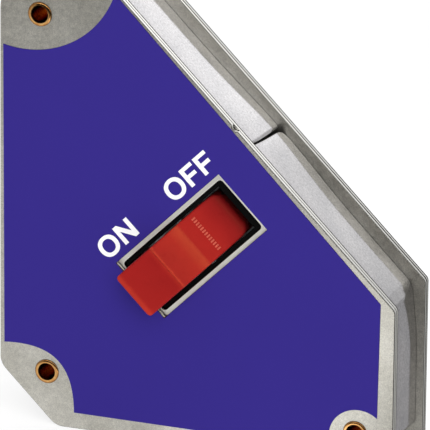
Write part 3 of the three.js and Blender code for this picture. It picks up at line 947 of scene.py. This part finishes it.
def grip_mesh():
    """A row of small raised bars across the low end, for the thumb."""
    near, far = GRIP_SPAN
    profile = [(near, low_slope(near) - GRIP_PROUD), (far, low_slope(far) - GRIP_PROUD),
               (far, low_slope(far) + GRIP_SUNK), (near, low_slope(near) + GRIP_SUNK)]
    vertices, faces = [], []
    for i in range(GRIP_BARS):
        middle = (i - (GRIP_BARS - 1) / 2) * GRIP_PITCH
        bar_vertices, bar_faces = switch_prism(
            profile, middle - GRIP_WIDTH / 2, middle + GRIP_WIDTH / 2, GRIP_EDGE)
        faces += [tuple(index + len(vertices) for index in face) for face in bar_faces]
        vertices += bar_vertices
    return vertices, faces


# The bars are coloured pale, a painted highlight on them.
grip = make_object("rocker_grip_bars", *grip_mesh(), PAINTED_HIGHLIGHT_RED, ROCKER_BODY)

PIVOT_DEPTH = 5.6
SWING = math.radians(14.5 / 2)     # either side of the middle
DRIVE_ARM = 19.8                   # from the pivot to the drive pin
ARM_ROOT = 4.5
ARM_HALF = 2.8
ARM_HALF_WIDTH = 4
ARM_EDGE = 0.4


def drive_arm_outline():
    """The arm in (u, depth), from under the hub to its round end about the drive pin."""
    along = Vector((-math.sin(SWING), math.cos(SWING)))
    across = Vector((along.y, -along.x))
    pivot = Vector((0, PIVOT_DEPTH))
    root = pivot + along * ARM_ROOT
    tip = pivot + along * DRIVE_ARM
    turn = math.degrees(math.atan2(across.y, across.x))
    foot = arc(tip.x, tip.y, ARM_HALF, turn, turn + 180, 16)
    return [tuple(root - across * ARM_HALF), tuple(root + across * ARM_HALF), *foot]


arm_mesh = switch_prism(drive_arm_outline(), -ARM_HALF_WIDTH, ARM_HALF_WIDTH, ARM_EDGE)
arm = make_object("rocker_drive_arm", *arm_mesh, RED, ROCKER_BODY)
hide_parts("rocker")

# ---- Carried-over CAD nodes -------------------------------------------------------------------------

NODE_LOOKS = {
    "rocker_cradle": BLACK, "rocker_pin": BRIGHT, "drive_pin": BRIGHT, "magnet_carriage": ALUMINIUM,
    "rail_upper": NYLON, "rail_lower": NYLON,
}
for name in frame["nodes"]:
    if name.startswith(("spacer_", "cradle_screw_")):
        NODE_LOOKS[name] = BRIGHT
    if "magnet" in name and name != "magnet_carriage":
        NODE_LOOKS[name] = FERRITE
for name, look in NODE_LOOKS.items():
    node = frame["nodes"][name]
    node.data.materials.clear()
    node.data.materials.append(look)

# ---- Stage, light and camera -------------------------------------------------------------------------

CAMERA_AZIMUTH = math.radians(19.87)    # to the right of straight in front
CAMERA_ELEVATION = math.radians(19.92)
CAMERA_ROLL = math.radians(-0.53)
CAMERA_DISTANCE = 2187 * MM
CAMERA_PIVOT = world(65, 0, 61.8)       # the camera stands along its direction from here
CAMERA_AIM = world(71.04, 0, 76.99)     # and looks at this place, the middle of the picture
CAMERA_LENS = 592.8
STAGE_HALF = 6                          # the stage's sizes are in metres
CARD_HEIGHT = -0.001
BACKDROP_TOP = 2
FLOOR_GLOW = 0.72
KEY_POWER = 20.5


def add_camera():
    data = bpy.data.cameras.new("camera")
    data.lens = CAMERA_LENS
    data.sensor_width = 36
    data.clip_end = 20
    camera = bpy.data.objects.new("camera", data)
    bpy.context.scene.collection.objects.link(camera)
    right = Vector((math.cos(CAMERA_AZIMUTH), math.sin(CAMERA_AZIMUTH), 0))
    towards = Vector((math.sin(CAMERA_AZIMUTH) * math.cos(CAMERA_ELEVATION),
                      -math.cos(CAMERA_AZIMUTH) * math.cos(CAMERA_ELEVATION),
                      math.sin(CAMERA_ELEVATION)))
    up = towards.cross(right)
    rolled = right * math.cos(CAMERA_ROLL) - up * math.sin(CAMERA_ROLL)
    place_at = CAMERA_PIVOT + towards * CAMERA_DISTANCE
    back = (place_at - CAMERA_AIM).normalized()
    right = (rolled - back * rolled.dot(back)).normalized()
    up = back.cross(right)
    turn = Matrix((right, up, back)).transposed().to_4x4()
    camera.matrix_world = Matrix.Translation(place_at) @ turn
    bpy.context.scene.camera = camera


def add_area(name, at, aim, size, power):
    """A soft light that reflections don't see, because they see the cards and the world."""
    data = bpy.data.lights.new(name, "AREA")
    data.shape = "RECTANGLE"
    data.size, data.size_y = size
    data.energy = power
    light = bpy.data.objects.new(name, data)
    light.location = at
    light.visible_glossy = False
    light.rotation_euler = (Vector(at) - Vector(aim)).to_track_quat("Z", "Y").to_euler()
    bpy.context.scene.collection.objects.link(light)


def stage_sheet(name, corners, material):
    mesh = bpy.data.meshes.new(name)
    mesh.from_pydata(corners, [], [(0, 1, 2, 3)])
    mesh.materials.append(material)
    sheet = bpy.data.objects.new(name, mesh)
    bpy.context.scene.collection.objects.link(sheet)
    return sheet


def level_corners(near, far, height):
    """A level sheet between two places along the frame's depth, at a height."""
    half = STAGE_HALF
    return [(-half, near, height), (half, near, height), (half, far, height), (-half, far, height)]


def upright_corners(at, left, right):
    """A standing sheet that faces the holder, at a place along the frame's depth."""
    return [(left, at, 0), (right, at, 0), (right, at, BACKDROP_TOP), (left, at, BACKDROP_TOP)]


def add_floor():
    """A pale light table. It is left out of reflections, which see the cards below instead."""
    look = Look("floor_paper", 0.9)
    look.colour(look.grey(look.noise(3, 3), 0.34, 0.36))
    look.shader.inputs["Specular IOR Level"].default_value = 0
    look.shader.inputs["Emission Color"].default_value = (1, 1, 1, 1)
    look.shader.inputs["Emission Strength"].default_value = FLOOR_GLOW
    corners = level_corners(-STAGE_HALF, STAGE_HALF, 0)
    stage_sheet("floor", corners, look.material).visible_glossy = False


def reflection_card(name, corners, direction, stops):
    """A glowing sheet that only reflections see; stops are (metres along a direction, glow)."""
    look = Look(name, 1.0)
    glow = look.banded(direction, [(at / MM, (value,) * 3) for at, value in stops])
    emission = look.nodes.new("ShaderNodeEmission")
    look.links.new(glow, emission.inputs["Color"])
    look.links.new(emission.outputs["Emission"], look.nodes["Material Output"].inputs["Surface"])
    card = stage_sheet(name, corners, look.material)
    card.visible_camera = False
    card.visible_diffuse = False
    card.visible_shadow = False


def add_cards():
    """What the metal reflects: the table in front and behind, the camera's side and the backdrop."""
    reflection_card("card_front_floor", level_corners(-0.3, 0, CARD_HEIGHT), (1, 0, 0), [
        (-0.25, 0.68), (-0.18, 0.74), (-0.12, 0.77), (-0.06, 0.79), (-0.02, 0.71), (0.024, 2.15),
        (0.034, 1.05), (0.045, 0.84), (0.1, 0.22)])
    reflection_card("card_far_floor", level_corners(-STAGE_HALF, -0.3, CARD_HEIGHT), (1, 0, 0), [
        (-0.25, 0.5), (-0.12, 0.5), (-0.08, 0.1)])
    reflection_card("card_lens_side", upright_corners(-0.5, -0.3, 2), (0, 0, 1), [
        (0.265, 0.03), (0.3, 1.1), (0.325, 2.8), (0.4, 0.9), (0.6, 0.2)])
    reflection_card("card_back_floor", level_corners(0, STAGE_HALF, CARD_HEIGHT), (1, 0, 0), [
        (0.0, 0.03), (0.06, 0.37)])
    reflection_card("card_backdrop", upright_corners(0.5, -2, 2), (-1, 0, 1), [
        (-0.06, 0.5), (-0.015, 0.69), (0.005, 0.77), (0.047, 0.88), (0.062, 1.02), (0.105, 0.96),
        (0.13, 1.08)])


def add_world():
    """Bright above and behind, dimmer on the camera's side."""
    sky = bpy.data.worlds.new("studio")
    sky.use_nodes = True
    nodes, links = sky.node_tree.nodes, sky.node_tree.links
    direction = nodes.new("ShaderNodeSeparateXYZ")
    ramp = nodes.new("ShaderNodeValToRGB")
    share = nodes.new("ShaderNodeMapRange")
    share.inputs["From Min"].default_value = -1
    share.inputs["From Max"].default_value = 1
    ramp.color_ramp.elements[0].position = 0.1
    ramp.color_ramp.elements[0].color = (0.32, 0.32, 0.32, 1)
    ramp.color_ramp.elements[1].position = 0.8
    ramp.color_ramp.elements[1].color = (1, 1, 1, 1)
    links.new(nodes.new("ShaderNodeTexCoord").outputs["Generated"], direction.inputs[0])
    links.new(direction.outputs["Y"], share.inputs["Value"])
    links.new(share.outputs["Result"], ramp.inputs["Fac"])
    links.new(ramp.outputs["Color"], nodes["Background"].inputs["Color"])
    bpy.context.scene.world = sky
    bpy.context.scene.view_settings.view_transform = "Standard"


add_camera()
add_floor()
add_cards()
add_world()
add_area("key", (0.7, -1.3, 1.0), (0, 0, 0.07), (1.4, 1.4), KEY_POWER)
